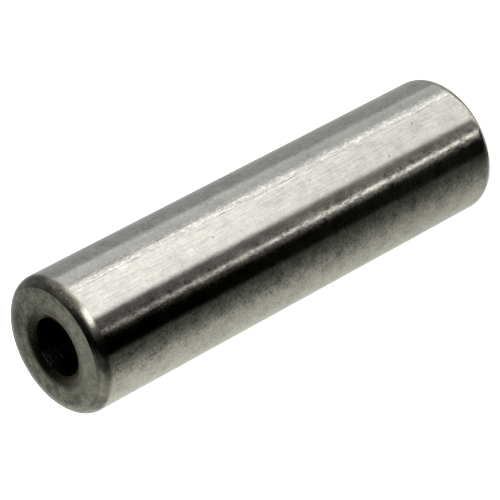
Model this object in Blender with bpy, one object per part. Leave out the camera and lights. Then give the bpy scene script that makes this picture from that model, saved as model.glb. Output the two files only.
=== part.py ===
"""Gudgeon pin of a small engine: a short, thick-walled steel tube, turned, hardened and ground.

The pin stands on one end face, with its axis along +Z and its origin at the bottom centre.
Both ends are alike. A flat turned face runs inwards to the countersunk mouth of the bore, and
outwards over a barely broken edge to the chamfer, which is blended into the ground wall with a
large radius and so has no edge that could score the piston's bosses on the way in.
"""

import math

import bmesh
import bpy
from mathutils import Vector

# Driving dimensions in metres, and the countersink's included angle in degrees
OUTSIDE_DIAMETER = 0.0110
LENGTH = 0.0400
BORE_DIAMETER = 0.0046
COUNTERSINK_WIDTH = 0.0006
COUNTERSINK_ANGLE = 120.0
CHAMFER_WIDTH = 0.00065
CHAMFER_LENGTH = 0.00055
FACE_CORNER_RADIUS = 0.0001
WALL_CORNER_RADIUS = 0.0005

# Share of the chamfer's slope that its two rounded corners may take
LARGEST_ROUNDED_SHARE = 0.9

# Facets round the axis and along each rounded corner
TURN_STEPS = 96
CORNER_STEPS = 4

# Bright ground steel
STEEL_COLOUR = (0.62, 0.61, 0.58, 1.0)
STEEL_ROUGHNESS = 0.22
SHARP_EDGE_ANGLE = math.radians(25.0)


def clear_scene():
    """Remove every object that the file opened with."""
    for existing in list(bpy.data.objects):
        bpy.data.objects.remove(existing)


def ground_steel():
    """The material of the whole pin."""
    material = bpy.data.materials.new("ground_steel")
    material.use_nodes = True
    shader = material.node_tree.nodes["Principled BSDF"]
    shader.inputs["Base Color"].default_value = STEEL_COLOUR
    shader.inputs["Metallic"].default_value = 1.0
    shader.inputs["Roughness"].default_value = STEEL_ROUGHNESS
    return material


def chamfer_corner_radii():
    """The radii of the chamfer's corners at the face and at the wall, limited by its slope."""
    slope = math.hypot(CHAMFER_WIDTH, CHAMFER_LENGTH)
    turn_at_face = math.atan2(CHAMFER_LENGTH, CHAMFER_WIDTH)
    turn_at_wall = math.pi / 2 - turn_at_face
    face_leg = FACE_CORNER_RADIUS * math.tan(turn_at_face / 2)
    wall_leg = WALL_CORNER_RADIUS * math.tan(turn_at_wall / 2)
    share = min(1.0, LARGEST_ROUNDED_SHARE * slope / (face_leg + wall_leg))
    return FACE_CORNER_RADIUS * share, WALL_CORNER_RADIUS * share


def rounded_corner(before, corner, after, radius):
    """The points of an arc that rounds off a corner and is tangent to both of its legs."""
    back = (before - corner).normalized()
    onward = (after - corner).normalized()
    half_angle = back.angle(onward) / 2
    leg = radius / math.tan(half_angle)
    centre = corner + (back + onward).normalized() * radius / math.sin(half_angle)
    first_spoke = (corner + back * leg - centre).normalized()
    last_spoke = (corner + onward * leg - centre).normalized()
    spokes = [first_spoke.slerp(last_spoke, step / CORNER_STEPS) for step in range(CORNER_STEPS + 1)]
    return [centre + spoke * radius for spoke in spokes]


def end_section(face_height, inward):
    """One end of the turned section, from the bore over the face and the chamfer to the wall.

    face_height is the height of the end face, and inward is +1 where the metal lies above that
    face and -1 where it lies below.
    """

    def at(radius, depth):
        return Vector((radius, 0.0, face_height + inward * depth))

    bore_radius = BORE_DIAMETER / 2
    wall_radius = OUTSIDE_DIAMETER / 2
    countersink_depth = COUNTERSINK_WIDTH / math.tan(math.radians(COUNTERSINK_ANGLE / 2))
    bore_end = at(bore_radius, countersink_depth)
    mouth = at(bore_radius + COUNTERSINK_WIDTH, 0.0)
    face_corner = at(wall_radius - CHAMFER_WIDTH, 0.0)
    wall_corner = at(wall_radius, CHAMFER_LENGTH)
    wall_middle = at(wall_radius, LENGTH / 2)
    radius_at_face, radius_at_wall = chamfer_corner_radii()
    face_arc = rounded_corner(mouth, face_corner, wall_corner, radius_at_face)
    wall_arc = rounded_corner(face_corner, wall_corner, wall_middle, radius_at_wall)
    return [bore_end, mouth, *face_arc, *wall_arc]


def turned_mesh(name, section):
    """The closed mesh that a closed section at +X sweeps in one turn about Z."""
    shape = bmesh.new()
    corners = [shape.verts.new(point) for point in section]
    sides = [shape.edges.new(pair) for pair in zip(corners, corners[1:] + corners[:1])]
    bmesh.ops.spin(
        shape,
        geom=corners + sides,
        cent=(0.0, 0.0, 0.0),
        axis=(0.0, 0.0, 1.0),
        angle=2 * math.pi,
        steps=TURN_STEPS,
        use_merge=True,
    )
    bmesh.ops.recalc_face_normals(shape, faces=shape.faces)
    mesh = bpy.data.meshes.new(name)
    shape.to_mesh(mesh)
    shape.free()
    mesh.shade_smooth()
    mesh.set_sharp_from_angle(angle=SHARP_EDGE_ANGLE)
    return mesh


def make_pin():
    """The pin, one solid: its top and bottom ends joined by the ground wall and the bore."""
    top = end_section(LENGTH, -1.0)
    bottom = end_section(0.0, 1.0)
    mesh = turned_mesh("gudgeon_pin", top + bottom[::-1])
    mesh.materials.append(ground_steel())
    pin = bpy.data.objects.new("gudgeon_pin", mesh)
    bpy.context.scene.collection.objects.link(pin)


clear_scene()
make_pin()
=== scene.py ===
"""The looks of a gudgeon pin: one turned, ground steel tube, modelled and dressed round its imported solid.

The pin stands on one end face with its axis along +Z, and everything is in metres. Azimuths are in
degrees round the axis, from the camera's side (-Y) towards -X.
"""

import logging
import math
from dataclasses import dataclass, field
from enum import Enum

import bmesh
import bpy
from mathutils import Matrix, Vector


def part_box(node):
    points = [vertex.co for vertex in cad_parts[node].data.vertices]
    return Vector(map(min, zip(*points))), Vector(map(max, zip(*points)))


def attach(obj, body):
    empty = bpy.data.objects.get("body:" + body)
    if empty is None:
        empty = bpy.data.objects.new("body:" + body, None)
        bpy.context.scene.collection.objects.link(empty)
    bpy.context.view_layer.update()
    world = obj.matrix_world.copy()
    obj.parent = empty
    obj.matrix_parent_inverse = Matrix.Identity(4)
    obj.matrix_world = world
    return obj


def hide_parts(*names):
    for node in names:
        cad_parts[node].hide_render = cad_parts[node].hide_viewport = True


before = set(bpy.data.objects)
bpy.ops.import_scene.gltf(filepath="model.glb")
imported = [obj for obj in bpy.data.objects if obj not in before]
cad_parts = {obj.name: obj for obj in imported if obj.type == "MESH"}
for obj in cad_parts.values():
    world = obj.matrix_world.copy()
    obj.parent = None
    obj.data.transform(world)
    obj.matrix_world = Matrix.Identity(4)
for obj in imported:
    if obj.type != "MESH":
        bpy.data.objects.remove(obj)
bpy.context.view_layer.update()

LOG = logging.getLogger("gudgeon_pin")
CAD_NODE = "gudgeon_pin"
MM = 0.001
MICRON = 0.000001
NOISE_MEAN = 0.5

Colour = tuple[float, float, float]


class Signal:
    """A value on its way through a node tree. Python's operators on it add Math nodes."""

    def __init__(self, graph: "Graph", socket: bpy.types.NodeSocket) -> None:
        """Keep the tree and the output socket that carries the value."""
        self.graph = graph
        self.socket = socket

    def __add__(self, other: "Signal | float") -> "Signal":
        """Return this value plus another."""
        return self.graph.math("ADD", self, other)

    def __radd__(self, other: float) -> "Signal":
        """Return a number plus this value."""
        return self.graph.math("ADD", other, self)

    def __sub__(self, other: "Signal | float") -> "Signal":
        """Return this value less another."""
        return self.graph.math("SUBTRACT", self, other)

    def __rsub__(self, other: float) -> "Signal":
        """Return a number less this value."""
        return self.graph.math("SUBTRACT", other, self)

    def __mul__(self, other: "Signal | float") -> "Signal":
        """Return this value times another."""
        return self.graph.math("MULTIPLY", self, other)

    def __truediv__(self, other: "Signal | float") -> "Signal":
        """Return this value divided by another."""
        return self.graph.math("DIVIDE", self, other)

    def __neg__(self) -> "Signal":
        """Return this value with its sign turned."""
        return self.graph.math("MULTIPLY", self, -1.0)

    def __abs__(self) -> "Signal":
        """Return this value without its sign."""
        return self.graph.math("ABSOLUTE", self)

    @property
    def centred(self) -> "Signal":
        """Noise less its mean, so that it swings about zero."""
        return self - NOISE_MEAN


class Graph:
    """A node tree that is filled by expressions."""

    def __init__(self, tree: bpy.types.NodeTree) -> None:
        """Keep the tree, emptied of its nodes."""
        self.tree = tree
        tree.nodes.clear()

    def node(self, kind: str, settings: dict | None = None, sockets: dict | None = None) -> bpy.types.Node:
        """Add a node.

        Args:
            kind: The node's type, such as ShaderNodeMath.
            settings: The node's own properties, set before its sockets.
            sockets: For each input's name or number, a value, a Signal or a socket to link.

        Returns:
            The new node.
        """
        made = self.tree.nodes.new(kind)
        for name, value in (settings or {}).items():
            setattr(made, name, value)
        for name, value in (sockets or {}).items():
            link = value.socket if isinstance(value, Signal) else value
            if isinstance(link, bpy.types.NodeSocket):
                self.tree.links.new(link, made.inputs[name])
            else:
                made.inputs[name].default_value = link
        return made

    def out(self, node: bpy.types.Node, output: str | int = 0) -> Signal:
        """Return one of a node's outputs as a Signal."""
        return Signal(self, node.outputs[output])

    def math(self, operation: str, *values: "Signal | float") -> Signal:
        """Return the result of a Math node on up to three values."""
        node = self.node("ShaderNodeMath", {"operation": operation}, dict(enumerate(values)))
        return self.out(node)

    def vector_math(self, operation: str, sockets: dict) -> bpy.types.Node:
        """Return a Vector Math node with these sockets."""
        return self.node("ShaderNodeVectorMath", {"operation": operation}, sockets)

    def ease(self, value: Signal, low: float, high: float, start: float = 0.0, end: float = 1.0) -> Signal:
        """Return a smooth step.

        Args:
            value: What the step follows.
            low: Where the step starts to rise.
            high: Where it has risen.
            start: The result below low.
            end: The result above high.

        Returns:
            The eased value.
        """
        sockets = {"Value": value, "From Min": low, "From Max": high, "To Min": start, "To Max": end}
        return self.out(self.node("ShaderNodeMapRange", {"interpolation_type": "SMOOTHSTEP"}, sockets))

    def ramp(
        self, value: Signal, middle: float, width: float, start: float = 0.0, end: float = 1.0
    ) -> Signal:
        """Return a smooth step given by its middle and its width. See ease for the other arguments."""
        return self.ease(value, middle - width / 2, middle + width / 2, start, end)

    def noise(self, vector: Signal, detail: float, rough: float = 0.5) -> Signal:
        """Return noise from 0 to 1, with one feature to a unit.

        Args:
            vector: Where the noise is read.
            detail: How many finer octaves it has.
            rough: How strong the finer octaves are.

        Returns:
            The noise's value.
        """
        sockets = {"Vector": vector, "Scale": 1.0, "Detail": detail, "Roughness": rough}
        return self.out(self.node("ShaderNodeTexNoise", {"noise_dimensions": "3D"}, sockets))

    def combine(self, x: "Signal | float", y: "Signal | float", z: "Signal | float") -> Signal:
        """Return a vector made of three values."""
        return self.out(self.node("ShaderNodeCombineXYZ", None, {"X": x, "Y": y, "Z": z}))

    def mix_colours(
        self, factor: "Signal | float", first: "Signal | Colour", second: "Signal | Colour"
    ) -> Signal:
        """Return a colour between two colours.

        Args:
            factor: 0 for the first colour, 1 for the second.
            first: The first colour.
            second: The second colour.

        Returns:
            The mixed colour.
        """
        ends = [(*c, 1.0) if isinstance(c, tuple) else c for c in (first, second)]
        sockets = {"Factor": factor, 6: ends[0], 7: ends[1]}
        node = self.node("ShaderNodeMix", {"data_type": "RGBA", "clamp_factor": True}, sockets)
        return self.out(node, 2)

    def scale_colour(self, colour: "Signal | Colour", factor: "Signal | float") -> Signal:
        """Return a colour times a value."""
        return self.out(self.vector_math("SCALE", {0: colour, "Scale": factor}))

    def add_colours(self, first: Signal, second: Signal) -> Signal:
        """Return the sum of two colours."""
        return self.out(self.vector_math("ADD", {0: first, 1: second}))

    def azimuth(self, x: Signal, y: Signal) -> Signal:
        """Return the azimuth of a direction or a place, in degrees from -180 to 180."""
        return self.math("ARCTAN2", -x, -y) * math.degrees(1.0)

    def turn_from(self, azimuth: Signal, middle: float) -> Signal:
        """Return how far an azimuth lies from another, in degrees from -180 to 180."""
        return self.math("WRAP", azimuth - middle, 180.0, -180.0)


@dataclass(frozen=True)
class Zone:
    """A range of azimuths in degrees, by its middle, half of its width and the width of its soft edges."""

    middle: float
    half_width: float
    edge: float

    def mask(self, graph: Graph, azimuth: Signal) -> Signal:
        """Return 1 inside the zone and 0 outside it.

        Args:
            graph: The material's nodes.
            azimuth: The azimuth in degrees.

        Returns:
            The zone's mask.
        """
        away = abs(graph.turn_from(azimuth, self.middle))
        inner = self.half_width - self.edge / 2
        outer = self.half_width + self.edge / 2
        return graph.ease(away, inner, outer, 1.0, 0.0)


class PinSpace:
    """The places on the pin that its finishes are drawn by."""

    # The share of a spot's radius that is solid, and how strongly noise pulls its outline in and out
    SOLID_SHARE = 0.3
    RAGGEDNESS = 2.0

    def __init__(self, graph: Graph, length: float) -> None:
        """Read the object's own coordinates, in metres.

        Args:
            graph: The material's nodes.
            length: The pin's length.
        """
        self.graph = graph
        coordinates = graph.node("ShaderNodeTexCoord")
        self.point = graph.out(coordinates, "Object")
        parts = graph.node("ShaderNodeSeparateXYZ", None, {"Vector": self.point})
        self.x = graph.out(parts, "X")
        self.y = graph.out(parts, "Y")
        self.z = graph.out(parts, "Z")
        self.radius = graph.math("SQRT", self.x * self.x + self.y * self.y)
        self.azimuth = graph.azimuth(self.x, self.y)
        self.depth = graph.math("MINIMUM", self.z, length - self.z)

    def stretched(self, across: float, along: float) -> Signal:
        """Return coordinates with features of these sizes.

        Args:
            across: Size of a feature square to the axis, in metres.
            along: Size of a feature along the axis, in metres.

        Returns:
            The coordinates, one unit to a feature.
        """
        return self.graph.combine(self.x / across, self.y / across, self.z / along)

    def ringed(self, width: float, length: float) -> Signal:
        """Return coordinates whose features are short arcs round the axis.

        Args:
            width: Size of a feature along the radius, in metres.
            length: Its size round the axis, in metres.

        Returns:
            The coordinates, one unit to a feature.
        """
        return self.graph.combine(self.x / length, self.y / length, self.radius / width)

    def inside(self, zone: Zone) -> Signal:
        """Return a zone's mask, 1 inside it and 0 outside it."""
        return zone.mask(self.graph, self.azimuth)

    def spot(self, place: Vector, radius: float, ragged: Signal) -> Signal:
        """Return a small ragged spot's mask, 1 at its middle and 0 outside it.

        Args:
            place: The spot's middle.
            radius: The spot's radius, in metres.
            ragged: Noise from 0 to 1 that pulls its outline in and out.

        Returns:
            The spot's mask.
        """
        reach = self.graph.vector_math("DISTANCE", {0: self.point, 1: place})
        distance = self.graph.out(reach, "Value") / radius + ragged.centred * self.RAGGEDNESS
        return self.graph.ease(distance, self.SOLID_SHARE, 1.0, 1.0, 0.0)


@dataclass(frozen=True)
class Mark:
    """A small pit, nick or stain at a place on the surface, with its own colour and added roughness."""

    azimuth: float
    height: float
    reach: float
    radius: float
    tone: Colour
    dulling: float = 0.0

    def place(self) -> Vector:
        """Return the mark's middle, at its reach from the axis."""
        turn = math.radians(self.azimuth)
        return Vector((-self.reach * math.sin(turn), -self.reach * math.cos(turn), self.height))


@dataclass(frozen=True)
class SteelFinish:
    """What every finish of the pin has: bare steel, a roughness and a relief."""

    name: str
    colour: Colour
    roughness: float
    marks: tuple[Mark, ...] = ()

    def material(self, length: float) -> bpy.types.Material:
        """Return the finish as a material.

        Args:
            length: The pin's length.

        Returns:
            The new material.
        """
        material = bpy.data.materials.new(self.name)
        material.use_nodes = True
        graph = Graph(material.node_tree)
        colour, roughness, height = self.surface(graph, PinSpace(graph, length))
        bump = graph.node("ShaderNodeBump", None, {"Strength": 1.0, "Distance": MICRON, "Height": height})
        sockets = {"Base Color": colour, "Metallic": 1.0, "Roughness": roughness}
        shader = graph.node("ShaderNodeBsdfPrincipled", None, {**sockets, "Normal": graph.out(bump)})
        graph.node("ShaderNodeOutputMaterial", None, {"Surface": graph.out(shader)})
        return material

    def surface(self, graph: Graph, space: PinSpace) -> tuple[Signal, Signal, Signal]:
        """Draw the finish.

        Args:
            graph: The material's nodes.
            space: The places on the pin.

        Returns:
            The colour, the roughness and the height in microns.
        """
        raise NotImplementedError


@dataclass(frozen=True)
class GroundWall(SteelFinish):
    """The ground and polished outside: bundles of fine straight lines, a thin cloudy film, a few pits.

    The film is thin in the clean zone, patchy in another and more even on the far side. In the glint
    zone the specks are lightened as painted glints on a slightly darker ground, and the polish breaks
    into beads in the beaded one. Each bundle of lines has its zone and its strength.
    """

    tarnish: Colour = (0.60, 0.575, 0.525)
    line_bundles: tuple[tuple[Zone, float], ...] = (
        (Zone(-36.0, 6.0, 6.0), 0.45),
        (Zone(-24.0, 14.0, 6.0), 0.45),
        (Zone(-72.0, 12.0, 6.0), 0.20),
        (Zone(74.0, 12.0, 6.0), 0.22),
        (Zone(132.0, 10.0, 6.0), 0.25),
        (Zone(163.0, 15.0, 6.0), 0.40),
        (Zone(-150.0, 24.0, 6.0), 0.30),
    )
    clean_zone: Zone = Zone(-20.0, 31.0, 18.0)
    glint_zone: Zone = Zone(-37.5, 5.0, 5.0)
    beaded_zone: Zone = Zone(7.0, 8.0, 8.0)
    patchy_zone: Zone = Zone(32.0, 14.0, 18.0)
    even_zone: Zone = Zone(180.0, 80.0, 30.0)
    brightness: float = 1.02
    line_contrast: float = 0.8
    dash_contrast: float = 1.3
    glint_gain: float = 0.40
    glint_loss: float = 0.12
    bead_specks: float = 1.6
    bead_ripple: float = 1.5
    bead_clouds: float = 1.2
    film_grain: float = 0.9
    film_clouds: float = 1.2
    clean_thinning: float = 0.55
    patchy_thickening: float = 0.9
    even_thinning: float = 0.65
    tarnish_strength: float = 0.8
    clean_tarnish_loss: float = 0.7
    even_tarnish_loss: float = 0.6
    cloud_roughness: float = 0.10
    pit_strength: float = 0.55
    peel_height: float = 0.9
    ripple_height: float = 2.4
    wave_height: float = 11.0
    pit_depth: float = 4.0

    def surface(self, graph: Graph, space: PinSpace) -> tuple[Signal, Signal, Signal]:
        """Draw the ground wall. See SteelFinish.surface."""
        lines = graph.noise(space.stretched(0.06 * MM, 400.0 * MM), detail=1.0)
        dashes = graph.noise(space.stretched(0.09 * MM, 1.3 * MM), detail=1.0)
        specks = graph.noise(space.stretched(0.14 * MM, 0.32 * MM), detail=1.0)
        grain = graph.noise(space.stretched(0.22 * MM, 0.20 * MM), detail=1.0, rough=0.6)
        peel = graph.noise(space.stretched(0.20 * MM, 0.24 * MM), detail=0.0)
        ripple = graph.noise(space.stretched(0.40 * MM, 0.80 * MM), detail=1.0)
        wave = graph.noise(space.stretched(1.8 * MM, 2.4 * MM), detail=1.0)
        clouds = graph.noise(space.stretched(1.5 * MM, 1.4 * MM), detail=4.0, rough=0.68)
        clean = space.inside(self.clean_zone)
        patchy = space.inside(self.patchy_zone)
        even = space.inside(self.even_zone)
        bundled = sum(space.inside(zone) * strength for zone, strength in self.line_bundles)
        line = (lines.centred * self.line_contrast + dashes.centred * self.dash_contrast) * bundled
        # Painted glints: specks lightened, and the rest of their narrow zone a little darker
        glint = graph.ease(specks, 0.50, 0.68) * self.glint_gain - self.glint_loss
        glint = glint * space.inside(self.glint_zone)
        beads = specks.centred * self.bead_specks + ripple.centred * self.bead_ripple
        beads = (beads + clouds.centred * self.bead_clouds) * space.inside(self.beaded_zone)
        thickness = 1.0 - clean * self.clean_thinning + patchy * self.patchy_thickening
        thickness = thickness - even * self.even_thinning
        film = (grain.centred * self.film_grain + clouds.centred * self.film_clouds) * thickness
        tarnishing = self.tarnish_strength - clean * self.clean_tarnish_loss
        tarnishing = tarnishing - even * self.even_tarnish_loss
        tarnished = graph.ease(clouds, 0.45, 0.65) * tarnishing
        colour = graph.mix_colours(tarnished, self.colour, self.tarnish)
        colour = graph.scale_colour(colour, self.brightness + line + film + glint + beads)
        roughness = self.roughness + clouds.centred * self.cloud_roughness
        height = peel * self.peel_height + ripple * self.ripple_height + wave * self.wave_height
        for mark in self.marks:
            pit = space.spot(mark.place(), mark.radius, grain)
            colour = graph.mix_colours(pit * self.pit_strength, colour, mark.tone)
            height = height - pit * self.pit_depth
        return colour, roughness, height


@dataclass(frozen=True)
class TurnedFace(SteelFinish):
    """An end face, turned square: faint rings round the bore under a dull, mottled skin. The clean zone
    is brightened by painted light and a patch opposite darkened by painted shade; the outer edge
    carries a painted bluish reflection on the far side and is darker elsewhere.
    """

    stain: Colour = (0.17, 0.166, 0.135)
    # The light bluish tint on the far part of the outer edge is a painted reflection
    edge_reflection_tint: Colour = (0.62, 0.655, 0.635)
    # The clean zone has fewer stains and is brightened by painted light; the darker patch opposite is
    # painted shade
    clean_zone: Zone = Zone(25.0, 55.0, 90.0)
    shaded_patch_zone: Zone = Zone(-125.0, 20.0, 40.0)
    reflecting_edge_zone: Zone = Zone(170.0, 80.0, 70.0)
    stain_strength: float = 0.95
    clean_stain_loss: float = 0.4
    ring_contrast: float = 0.5
    grain_contrast: float = 1.5
    painted_light_gain: float = 0.2
    edge_darkening: float = 0.14
    patch_shade: float = 0.35
    mouth_share: float = 0.5
    mottle_roughness: float = 0.2
    ring_height: float = 5.0
    grain_height: float = 9.0

    def surface(self, graph: Graph, space: PinSpace) -> tuple[Signal, Signal, Signal]:
        """Draw the turned face. See SteelFinish.surface."""
        rings = graph.noise(space.ringed(0.13 * MM, 5.0 * MM), detail=2.0, rough=0.6)
        mottle = graph.noise(space.stretched(0.7 * MM, 0.7 * MM), detail=5.0, rough=0.75)
        grain = graph.noise(space.stretched(0.16 * MM, 0.16 * MM), detail=2.0, rough=0.6)
        # Painted light in the clean zone and painted shade in the patch opposite
        clean = space.inside(self.clean_zone)
        shaded_patch = space.inside(self.shaded_patch_zone)
        # Painted reflection: the outer edge in this zone is mixed towards a light bluish steel
        edge_reflection = space.inside(self.reflecting_edge_zone)
        outer = graph.ease(space.radius, 4.3 * MM, 4.8 * MM)
        stained = graph.ease(mottle, 0.34, 0.66) * (self.stain_strength - clean * self.clean_stain_loss)
        colour = graph.mix_colours(stained, self.colour, self.stain)
        colour = graph.mix_colours(outer * edge_reflection, colour, self.edge_reflection_tint)
        wiped = graph.ease(space.radius, 2.95 * MM, 3.5 * MM, self.mouth_share, 1.0)
        # The patch is darkened as painted shade, and the outer edge is darker outside the reflecting zone
        face_darkening = outer * (1.0 - edge_reflection) * self.edge_darkening + shaded_patch * (1.0 - outer) * self.patch_shade
        shade = rings * self.ring_contrast + grain * self.grain_contrast + clean * self.painted_light_gain
        colour = graph.scale_colour(colour, (shade - face_darkening) * wiped)
        roughness = self.roughness + mottle.centred * self.mottle_roughness
        height = rings * self.ring_height + grain * self.grain_height
        return colour, roughness, height


@dataclass(frozen=True)
class TumbledRim(SteelFinish):
    """The blended rim: polished towards the wall, with brown stains, painted shade, a dull rubbed part and
    nicks.

    The painted shade lies in a pair of zones, one on each side of the camera.
    """

    stain: Colour = (0.37, 0.305, 0.24)
    burnt_zone: Zone = Zone(-44.0, 30.0, 20.0)
    rubbed_zone: Zone = Zone(34.0, 18.0, 16.0)
    side_shade_zone: Zone = Zone(73.0, 11.0, 12.0)
    faint_stain: float = 0.12
    burnt_stain: float = 0.8
    inner_stain_loss: float = 0.5
    grime_share: float = 0.62
    side_shade_strength: float = 0.45
    rubbed_gain: float = 0.2
    grain_contrast: float = 1.1
    burnt_grain_contrast: float = 1.4
    stain_contrast: float = 1.4
    stain_roughness: float = 0.05
    rubbed_roughness: float = 0.28
    polish_levelling: float = 0.7
    mark_strength: float = 0.85
    stain_height: float = 5.0
    grain_height: float = 3.0

    def surface(self, graph: Graph, space: PinSpace) -> tuple[Signal, Signal, Signal]:
        """Draw the rim. See SteelFinish.surface."""
        stains = graph.noise(space.stretched(0.55 * MM, 0.30 * MM), detail=4.0, rough=0.65)
        grain = graph.noise(space.stretched(0.17 * MM, 0.17 * MM), detail=2.0, rough=0.6)
        polished = graph.ease(space.depth, 0.65 * MM, 0.95 * MM)
        inner = graph.ease(space.depth, 0.25 * MM, 0.55 * MM, 1.0, 0.0)
        coarse = graph.ease(space.depth, 0.35 * MM, 0.65 * MM, 1.0, 0.3)
        dirty_end = graph.ease(space.z, 15.0 * MM, 25.0 * MM) * (1.0 - polished)
        burnt = space.inside(self.burnt_zone)
        staining = self.faint_stain + burnt * (self.burnt_stain - inner * self.inner_stain_loss)
        stained = graph.ease(stains, 0.42, 0.60) * dirty_end * staining
        # Painted shade in two zones, mirrored about the camera's side
        side_shade = self.side_shade_zone.mask(graph, abs(space.azimuth)) * dirty_end
        rubbed = space.inside(self.rubbed_zone)
        rubbed = rubbed * graph.ease(space.depth, 0.05 * MM, 0.24 * MM, 1.0, 0.0)
        grimy = graph.ease(space.depth, 0.0, 0.35 * MM, self.grime_share, 1.0)
        wiped = grimy * (1.0 - side_shade * self.side_shade_strength + rubbed * self.rubbed_gain)
        graininess = (self.grain_contrast + burnt * self.burnt_grain_contrast) * coarse
        speckled = 1.0 + grain.centred * graininess + stains.centred * self.stain_contrast
        colour = graph.mix_colours(stained, self.colour, self.stain)
        colour = graph.scale_colour(colour, speckled * wiped)
        roughness = self.roughness + stained * self.stain_roughness + rubbed * self.rubbed_roughness
        height = stains * self.stain_height + grain * self.grain_height
        height = height * (1.0 - polished * self.polish_levelling)
        for mark in self.marks:
            spot = space.spot(mark.place(), mark.radius, stains)
            colour = graph.mix_colours(spot * self.mark_strength, colour, mark.tone)
            roughness = roughness + spot * mark.dulling
        return colour, roughness, height


@dataclass(frozen=True)
class DrilledBore(SteelFinish):
    """The bore and its countersink: tool rings, painted shade that deepens towards the bore and on the far
    side of the hole, two zones drawn darker, and brown on one side.
    """

    ring_width: float = 0.30 * MM
    ring_length: float = 5.0 * MM
    ring_height: float = 8.0
    grain_height: float = 4.0
    brown: Colour = (0.28, 0.18, 0.08)
    browned_zone: Zone = Zone(10.0, 60.0, 50.0)
    # The far side of the hole is darkened by painted shade
    far_side_zone: Zone = Zone(180.0, 105.0, 70.0)
    # Two zones of the countersink drawn darker
    darker_side_zone: Zone = Zone(-112.0, 36.0, 44.0)
    dimmed_zone: Zone = Zone(-30.0, 16.0, 20.0)
    brown_strength: float = 0.7
    darker_side_strength: float = 0.5
    dimming_strength: float = 0.45
    grain_contrast: float = 2.8
    least_shade: float = 0.2
    ring_roughness: float = 0.2

    def surface(self, graph: Graph, space: PinSpace) -> tuple[Signal, Signal, Signal]:
        """Draw the drilled surface. See SteelFinish.surface."""
        rings = graph.noise(space.stretched(self.ring_length, self.ring_width), detail=2.0, rough=0.6)
        grain = graph.noise(space.stretched(0.25 * MM, 0.25 * MM), detail=3.0, rough=0.6)
        # Painted shade: darker towards the bore and inside it, and darker on the far side of the hole
        depth_shade = graph.ease(space.radius, 2.3 * MM, 3.0 * MM, 0.33, 1.0)
        far_side_shade = space.inside(self.far_side_zone) * graph.ease(space.radius, 2.6 * MM, 2.85 * MM, 0.35, 0.62)
        # Two zones drawn darker still, nothing else drawn in them
        darker_side = space.inside(self.darker_side_zone) * self.darker_side_strength
        dimmed = space.inside(self.dimmed_zone) * self.dimming_strength
        mottle = 1.0 + rings.centred + grain.centred * self.grain_contrast
        mottle = graph.math("MAXIMUM", mottle, self.least_shade)
        shade = mottle * depth_shade * (1.0 - far_side_shade) * (1.0 - darker_side - dimmed)
        browned = space.inside(self.browned_zone) * self.brown_strength
        colour = graph.mix_colours(browned, self.colour, self.brown)
        colour = graph.scale_colour(colour, shade)
        roughness = self.roughness + rings.centred * self.ring_roughness
        height = rings * self.ring_height + grain * self.grain_height
        return colour, roughness, height


class Region(Enum):
    """The parts of the pin's surface, in the order of its material slots."""

    WALL = 0
    RIM = 1
    FACE = 2
    COUNTERSINK = 3
    BORE = 4


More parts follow.
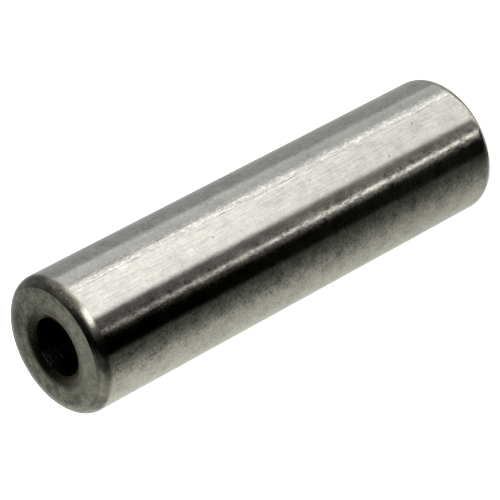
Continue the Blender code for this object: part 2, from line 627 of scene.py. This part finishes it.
@dataclass
class GudgeonPin:
    """The pin: its sizes, its mesh and its finishes. Angles are in degrees.

    The chamfer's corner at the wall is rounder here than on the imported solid, and the bore's edges
    are broken, as the photograph shows them. A surface's flatness is 1 where it lies square to the
    axis and 0 where it runs along it.
    """

    diameter: float
    length: float
    bore_diameter: float = 4.6 * MM
    countersink_width: float = 0.6 * MM
    countersink_angle: float = 120.0
    chamfer_width: float = 0.65 * MM
    chamfer_length: float = 0.55 * MM
    face_corner_radius: float = 0.1 * MM
    wall_corner_radius: float = 0.9 * MM
    mouth_break: float = 0.17 * MM
    bore_break: float = 0.04 * MM
    sharp_angle: float = 20.0
    least_face_flatness: float = 0.98
    most_wall_flatness: float = 0.01
    facets: int = 384
    finishes: dict[Region, SteelFinish] = field(default_factory=dict)

    @property
    def wall_radius(self) -> float:
        """Radius of the ground wall."""
        return self.diameter / 2

    @property
    def face_radius(self) -> float:
        """Radius at which the face would meet the chamfer if their corner were sharp."""
        return self.wall_radius - self.chamfer_width

    @property
    def bore_radius(self) -> float:
        """Radius of the bore."""
        return self.bore_diameter / 2

    @property
    def mouth_radius(self) -> float:
        """Radius of the countersink where it meets the face."""
        return self.bore_radius + self.countersink_width

    @property
    def countersink_depth(self) -> float:
        """Depth of the countersink below the face."""
        return self.countersink_width / math.tan(math.radians(self.countersink_angle / 2))

    def build(self) -> bpy.types.Object:
        """Model the pin and dress it.

        Returns:
            The finished pin.
        """
        bar = self.turn_bar()
        for side in (-1.0, 1.0):
            self.turn_end(side)
        self.drill()
        self.blend_corners()
        bpy.ops.mesh.select_all(action="SELECT")
        bpy.ops.mesh.normals_make_consistent(inside=False)
        bpy.ops.object.mode_set(mode="OBJECT")
        bpy.ops.object.transform_apply(location=True, rotation=True, scale=True)
        bpy.ops.object.shade_smooth_by_angle(angle=math.radians(self.sharp_angle))
        self.dress(bar)
        return bar

    def turn_bar(self) -> bpy.types.Object:
        """Start with a bar as long as the straight wall.

        Returns:
            The bar, in edit mode.
        """
        bpy.ops.object.select_all(action="DESELECT")
        bpy.ops.mesh.primitive_cylinder_add(
            vertices=self.facets,
            radius=self.wall_radius,
            depth=self.length - 2 * self.chamfer_length,
            end_fill_type="NGON",
            location=(0.0, 0.0, self.length / 2),
        )
        bar = bpy.context.object
        bar.name = bar.data.name = "turned_pin"
        bpy.ops.object.transform_apply(location=True, rotation=True, scale=True)
        bpy.ops.object.mode_set(mode="EDIT")
        return bar

    def select_caps(self, sides: tuple[float, ...]) -> None:
        """Select the large faces that close the ends.

        Args:
            sides: The ends, 1 for the upper and -1 for the lower.
        """
        bpy.ops.mesh.select_all(action="DESELECT")
        mesh = bmesh.from_edit_mesh(bpy.context.object.data)
        for face in mesh.faces:
            above = 1.0 if face.calc_center_median().z > self.length / 2 else -1.0
            if len(face.verts) == self.facets and above in sides:
                face.select_set(True)
        bmesh.update_edit_mesh(bpy.context.object.data)

    def step_cap(self, from_radius: float, to_radius: float, travel: float) -> None:
        """Extrude the selected cap along the axis and bring it to another radius.

        Args:
            from_radius: The cap's radius now.
            to_radius: Its new radius.
            travel: How far it goes along +Z.
        """
        bpy.ops.mesh.extrude_region_move(TRANSFORM_OT_translate={"value": (0.0, 0.0, travel)})
        ratio = to_radius / from_radius
        bpy.ops.transform.resize(value=(ratio, ratio, 1.0), center_override=(0.0, 0.0, 0.0))

    def turn_end(self, side: float) -> None:
        """Cut one end: the chamfer, the face and the countersink.

        Args:
            side: 1 for the upper end, -1 for the lower.
        """
        self.select_caps((side,))
        self.step_cap(self.wall_radius, self.face_radius, side * self.chamfer_length)
        self.step_cap(self.face_radius, self.mouth_radius, 0.0)
        self.step_cap(self.mouth_radius, self.bore_radius, -side * self.countersink_depth)

    def drill(self) -> None:
        """Join the two caps by the bore."""
        self.select_caps((-1.0, 1.0))
        bpy.ops.mesh.bridge_edge_loops()

    def bevel_rings(self, radius: float, offset: float, segments: int) -> None:
        """Round the sharp rings of one radius.

        Args:
            radius: The radius of the rings.
            offset: How far the rounding reaches from the sharp ring.
            segments: How many facets it has.
        """
        bpy.ops.mesh.select_all(action="DESELECT")
        mesh = bmesh.from_edit_mesh(bpy.context.object.data)
        slack = 0.01 * MM
        for edge in mesh.edges:
            ends = [v.co for v in edge.verts]
            level = abs(ends[0].z - ends[1].z) < slack
            on_ring = all(abs(p.to_2d().length - radius) < slack for p in ends)
            if level and on_ring:
                edge.select_set(True)
        bmesh.update_edit_mesh(bpy.context.object.data)
        bpy.ops.mesh.bevel(offset=offset, segments=segments, profile=0.5, affect="EDGES")

    def blend_corners(self) -> None:
        """Round the corners of the chamfers and the edges of the countersinks."""
        face_turn = math.atan2(self.chamfer_length, self.chamfer_width)
        wall_turn = math.pi / 2 - face_turn
        face_leg = self.face_corner_radius * math.tan(face_turn / 2)
        wall_leg = self.wall_corner_radius * math.tan(wall_turn / 2)
        self.bevel_rings(self.bore_radius, self.bore_break, segments=3)
        self.bevel_rings(self.mouth_radius, self.mouth_break, segments=6)
        self.bevel_rings(self.face_radius, face_leg, segments=6)
        self.bevel_rings(self.wall_radius, wall_leg, segments=12)

    def region_of(self, face: bpy.types.MeshPolygon) -> Region:
        """Say which part of the surface a face belongs to.

        Args:
            face: A face of the finished mesh.

        Returns:
            Its region.
        """
        radius = face.center.to_2d().length
        flatness = abs(face.normal.z)
        if radius < self.bore_radius + self.bore_break / 2:
            return Region.BORE
        if flatness > self.least_face_flatness:
            return Region.FACE
        if radius < self.mouth_radius + self.mouth_break:
            return Region.COUNTERSINK
        if radius > self.wall_radius - MICRON and flatness < self.most_wall_flatness:
            return Region.WALL
        return Region.RIM

    def dress(self, pin: bpy.types.Object) -> None:
        """Give each region of the pin its finish.

        Args:
            pin: The finished mesh's object.
        """
        for region in Region:
            pin.data.materials.append(self.finishes[region].material(self.length))
        for face in pin.data.polygons:
            face.material_index = self.region_of(face).value


@dataclass(frozen=True)
class Panel:
    """A soft light that stands round the pin, hidden from the camera.

    It reaches from one azimuth to another, each with a soft edge of its own. Elevations are in
    degrees above the level of the pin. lift is how much brighter it gets for each degree above the
    middle of what the wall reflects. Above its top only the upper_share of its light is left, and
    higher up, at its ceiling, the ceiling_share of that.
    """

    start: float
    end: float
    start_edge: float
    end_edge: float
    level: float
    tint: Colour
    lift: float = 0.0
    bottom: float = -120.0
    bottom_edge: float = 14.0
    top: float = -12.0
    top_edge: float = 30.0
    upper_share: float = 0.43
    ceiling: float = 20.0
    ceiling_edge: float = 36.0
    ceiling_share: float = 1.0

    def glow(self, graph: Graph, bearing: Signal, elevation: Signal, steepness: Signal) -> Signal:
        """Return the panel's light in a direction.

        Args:
            graph: The world's nodes.
            bearing: The direction's azimuth in degrees, from -180 to 180.
            elevation: Its elevation in degrees.
            steepness: How far it lies above the middle of what the wall reflects, within limits.

        Returns:
            The panel's colour there.
        """
        half = (self.end - self.start) / 2
        offset = graph.turn_from(bearing, self.start + half)
        level = graph.ramp(offset, -half, self.start_edge) * self.level
        level = level * graph.ramp(offset, half, self.end_edge, 1.0, 0.0)
        level = level * (1.0 + steepness * self.lift)
        level = level * graph.ramp(elevation, self.bottom, self.bottom_edge)
        level = level * graph.ramp(elevation, self.top, self.top_edge, 1.0, self.upper_share)
        if self.ceiling_share < 1.0:
            level = level * graph.ramp(elevation, self.ceiling, self.ceiling_edge, 1.0, self.ceiling_share)
        return graph.scale_colour(self.tint, level)


@dataclass
class Studio:
    """The white table and the lights.

    The panels' light fades overhead. wall_elevation is the middle of what the wall reflects to the
    camera, and a direction's steepness is how far it lies above that, kept between its least and
    its most. Elevations and steepness are in degrees.
    """

    panels: tuple[Panel, ...]
    darkness: Colour = (0.001, 0.001, 0.0007)
    backdrop: Colour = (1.0, 1.0, 1.0)
    paper: Colour = (0.8, 0.8, 0.8)
    wall_elevation: float = -34.0
    least_steepness: float = -2.5
    most_steepness: float = 4.0
    overhead_start: float = 44.0
    overhead_end: float = 68.0
    overhead_share: float = 0.06
    floor_size: float = 4.0
    floor_glow: float = 0.88
    lamp_size: float = 0.30
    lamp_height: float = 0.45
    lamp_power: float = 1.6

    def light_world(self) -> None:
        """Show white to the camera, and panels with dark gaps between them to the pin."""
        world = bpy.data.worlds.new("studio")
        bpy.context.scene.world = world
        world.use_nodes = True
        graph = Graph(world.node_tree)
        coordinates = graph.node("ShaderNodeTexCoord")
        parts = graph.node("ShaderNodeSeparateXYZ", None, {"Vector": graph.out(coordinates, "Generated")})
        east, north, up = (graph.out(parts, name) for name in "XYZ")
        bearing = graph.azimuth(east, north)
        elevation = graph.math("ARCSINE", up) * math.degrees(1.0)
        steepness = graph.math("MAXIMUM", elevation - self.wall_elevation, self.least_steepness)
        steepness = graph.math("MINIMUM", steepness, self.most_steepness)
        glow = self.panels[0].glow(graph, bearing, elevation, steepness)
        for panel in self.panels[1:]:
            glow = graph.add_colours(glow, panel.glow(graph, bearing, elevation, steepness))
        overhead = graph.ease(elevation, self.overhead_start, self.overhead_end, 1.0, self.overhead_share)
        glow = graph.out(graph.vector_math("MULTIPLY_ADD", {0: glow, 1: overhead, 2: self.darkness}))
        seen = graph.out(graph.node("ShaderNodeLightPath"), "Is Camera Ray")
        colour = graph.mix_colours(seen, glow, self.backdrop)
        background = graph.node("ShaderNodeBackground", None, {"Color": colour, "Strength": 1.0})
        graph.node("ShaderNodeOutputWorld", None, {"Surface": graph.out(background)})

    def hang_lamp(self) -> None:
        """Hang a soft lamp over the pin for its shadow on the table. It doesn't show in the polish."""
        lamp_data = bpy.data.lights.new("soft_lamp", "AREA")
        lamp_data.size = self.lamp_size
        lamp_data.energy = self.lamp_power
        lamp = bpy.data.objects.new("soft_lamp", lamp_data)
        lamp.location = (0.0, 0.0, self.lamp_height)
        lamp.visible_glossy = False
        bpy.context.scene.collection.objects.link(lamp)

    def lay_floor(self) -> None:
        """Lay a white floor that keeps a soft shadow and doesn't show in the polish."""
        bpy.ops.object.select_all(action="DESELECT")
        bpy.ops.mesh.primitive_plane_add(size=self.floor_size)
        floor = bpy.context.object
        floor.name = floor.data.name = "floor"
        floor.visible_glossy = False
        material = bpy.data.materials.new("white_table")
        material.use_nodes = True
        graph = Graph(material.node_tree)
        matt = graph.node("ShaderNodeBsdfDiffuse", None, {"Color": (*self.paper, 1.0)})
        glow = graph.node("ShaderNodeEmission", None, {"Strength": self.floor_glow})
        both = graph.node("ShaderNodeAddShader", None, {0: graph.out(matt), 1: graph.out(glow)})
        graph.node("ShaderNodeOutputMaterial", None, {"Surface": graph.out(both)})
        floor.data.materials.append(material)


@dataclass(frozen=True)
class PhotoCamera:
    """The camera of the photograph, from where the pin's upper end lies in the picture.

    The picture is 500 pixels square. The pin's axis runs from its upper end to its lower end at
    axis_angle, counted anticlockwise from the picture's right.
    """

    picture: float = 500.0
    focal_pixels: float = 3329.0
    sensor: float = 36.0
    look_down: float = 33.4
    axis_angle: float = 28.03
    end_x: float = 53.35
    end_y: float = 349.05
    pixels_per_radius: float = 76.35

    def place(self, radius: float, length: float) -> None:
        """Put the camera where it sees the pin as the photograph does.

        Args:
            radius: The pin's outside radius.
            length: The pin's length.
        """
        tilt = math.radians(self.look_down)
        forward = Vector((0.0, math.cos(tilt), -math.sin(tilt)))
        level_up = Vector((0.0, math.sin(tilt), math.cos(tilt)))
        level_right = Vector((1.0, 0.0, 0.0))
        roll = math.radians(-90.0 - self.axis_angle)
        right = level_right * math.cos(roll) + level_up * math.sin(roll)
        up = level_up * math.cos(roll) - level_right * math.sin(roll)
        depth = self.focal_pixels * radius / self.pixels_per_radius
        half = self.picture / 2
        sideways = (self.end_x - half) * depth / self.focal_pixels
        upwards = (half - self.end_y) * depth / self.focal_pixels
        end = Vector((0.0, 0.0, length))
        data = bpy.data.cameras.new("photo_camera")
        data.sensor_width = self.sensor
        data.lens = self.focal_pixels * self.sensor / self.picture
        camera = bpy.data.objects.new("photo_camera", data)
        bpy.context.scene.collection.objects.link(camera)
        turn = Matrix((right, up, -forward)).transposed()
        camera.matrix_world = turn.to_4x4()
        camera.location = end - right * sideways - up * upwards - forward * depth
        bpy.context.scene.camera = camera


def steel_finishes(pin: GudgeonPin) -> dict[Region, SteelFinish]:
    """Choose the finish of each part of the surface.

    Args:
        pin: The pin, for the places of its marks.

    Returns:
        A finish for each region.
    """
    # Each pit's azimuth, its height and radius in mm, and its tone
    pits = tuple(
        Mark(azimuth, height * MM, pin.wall_radius, radius * MM, (tone, tone, tone * 0.9))
        for azimuth, height, radius, tone in (
            (-18.3, 26.7, 0.16, 0.20),
            (-22.7, 16.7, 0.18, 0.20),
            (-26.0, 5.7, 0.18, 0.20),
            (-10.2, 9.4, 0.14, 0.20),
            (-36.0, 20.0, 0.12, 0.20),
            (-43.8, 15.0, 0.16, 0.20),
            (42.8, 24.2, 0.16, 0.02),
            (44.2, 23.7, 0.18, 0.02),
            (97.0, 31.0, 0.18, 0.10),
            (128.0, 12.5, 0.15, 0.20),
            (-121.0, 22.0, 0.17, 0.10),
            (-158.0, 33.5, 0.14, 0.20),
        )
    )
    # The nicks' light colour is bare steel with a painted glint
    bare = (0.80, 0.78, 0.75)
    bruised = (0.24, 0.24, 0.25)
    # Each nick's azimuth, its depth below the face and radius in mm, its colour and its dulling; the light
    # colour is bare steel lightened as a painted glint, the dark one a real bruise
    nicks = tuple(
        Mark(azimuth, pin.length - depth * MM, pin.face_radius + depth * MM, radius * MM, tone, dulling)
        for azimuth, depth, radius, tone, dulling in (
            (-24.0, 0.24, 0.16, bare, 0.45),
            (-38.0, 0.35, 0.16, bare, 0.30),
            (-47.0, 0.40, 0.16, bare, 0.30),
            (-140.0, 0.30, 0.16, bare, 0.30),
            (32.5, 0.50, 0.64, bruised, 0.0),
        )
    )
    # The bore's dark colour is painted shade inside the hole
    shade_painted_bore = DrilledBore(
        "shade_painted_bore",
        (0.26, 0.25, 0.22),
        roughness=0.30,
        ring_width=0.25 * MM,
        ring_length=1.2 * MM,
        ring_height=80.0,
    )
    return {
        Region.WALL: GroundWall("ground_wall", (0.63, 0.62, 0.595), roughness=0.125, marks=pits),
        Region.RIM: TumbledRim("tumbled_rim", (0.60, 0.595, 0.545), roughness=0.17, marks=nicks),
        Region.FACE: TurnedFace("turned_face", (0.36, 0.36, 0.32), roughness=0.45),
        Region.COUNTERSINK: DrilledBore("countersink", (0.22, 0.21, 0.16), roughness=0.32),
        Region.BORE: shade_painted_bore,
    }


def studio_panels() -> tuple[Panel, ...]:
    """Choose the panels round the pin.

    Returns:
        The panels, from the left round to the right, and then those that the ends reflect.
    """
    warm = (1.0, 0.985, 0.955)
    cool = (0.985, 1.0, 0.985)
    olive = (0.985, 1.0, 0.87)
    left = {"ceiling_share": 0.2, "top_edge": 34.0, "upper_share": 0.38}
    key = {"top": 1.0, "top_edge": 66.0, "upper_share": 0.15}
    strip = {"top": -26.0, "top_edge": 12.0, "upper_share": 0.1}
    bounce = {"bottom": -64.0, "upper_share": 0.6}
    tall = {"bottom": -10.0, "bottom_edge": 36.0, "top": 32.0, "top_edge": 32.0, "upper_share": 0.0}
    high = {"bottom": 8.0, "bottom_edge": 40.0, "top": 80.0, "top_edge": 10.0, "upper_share": 0.0}
    low = {"top": -72.0, "top_edge": 10.0, "upper_share": 0.0}
    return (
        # The left side, brighter towards the key
        Panel(-172.0, -101.0, 44.0, 14.0, 0.355, cool, bottom=-64.0, **left),
        Panel(-104.0, -79.0, 14.0, 6.0, 0.60, cool, lift=0.03, ceiling_share=0.5),
        Panel(-172.0, -150.0, 30.0, 36.0, 0.07, cool, bottom=-64.0, upper_share=0.0),
        # The key
        Panel(-82.0, -70.0, 5.0, 8.0, 0.26, warm, lift=-0.25, **key),
        Panel(-77.2, -12.0, 8.0, 10.0, 1.12, warm, lift=0.035, **key),
        Panel(-67.0, -50.0, 8.0, 10.0, 0.06, warm, lift=0.02, **key),
        # The dim gap beside the key, and the narrow strip with its faint edge
        Panel(-12.0, 8.5, 8.0, 6.0, 0.155, (1.0, 0.985, 0.92), lift=-0.09, upper_share=1.0),
        Panel(9.5, 15.0, 5.0, 6.0, 1.0, (1.0, 0.95, 0.88), lift=-0.13, **strip),
        Panel(16.0, 22.0, 5.0, 8.0, 0.11, (1.0, 0.97, 0.90), lift=-0.25, **strip),
        # The black
        Panel(20.0, 52.0, 8.0, 8.0, 0.003, olive, lift=-0.4),
        # The bounce on the right
        Panel(50.0, 186.0, 8.0, 12.0, 0.047, olive, lift=0.04, **bounce),
        Panel(82.0, 116.0, 24.0, 24.0, 0.035, olive, lift=0.40, **bounce),
        Panel(97.0, 190.0, 97.0, 44.0, 0.56, (0.99, 1.0, 0.905), lift=0.035, **bounce),
        Panel(164.0, 182.0, 24.0, 20.0, 0.20, (0.97, 0.99, 1.04), bottom=-64.0, upper_share=0.0),
        # A tall lamp for the bright spot on the rim
        Panel(-31.0, -4.0, 14.0, 9.0, 1.6, (1.0, 0.98, 0.96), **tall),
        # The light behind the pin, for the upper face
        Panel(130.0, 230.0, 60.0, 60.0, 0.22, (1.0, 1.0, 0.95), **high),
        # The light from the table, for the lower face
        Panel(90.0, 270.0, 60.0, 60.0, 0.42, (0.985, 1.0, 0.93), **low),
    )


def main() -> None:
    """Build the pin, the studio and the camera, and report each piece."""
    logging.basicConfig(level=logging.INFO, format="%(name)s: %(message)s")
    low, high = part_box(CAD_NODE)
    size = high - low
    pin = GudgeonPin(size.x, size.z)
    pin.finishes = steel_finishes(pin)
    piece = pin.build()
    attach(piece, "root")
    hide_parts(CAD_NODE)
    LOG.info("%s: %d faces", piece.name, len(piece.data.polygons))
    studio = Studio(studio_panels())
    studio.light_world()
    studio.hang_lamp()
    studio.lay_floor()
    PhotoCamera().place(pin.wall_radius, pin.length)
    bpy.context.scene.view_settings.view_transform = "Standard"


if __name__ == "__main__":
    main()
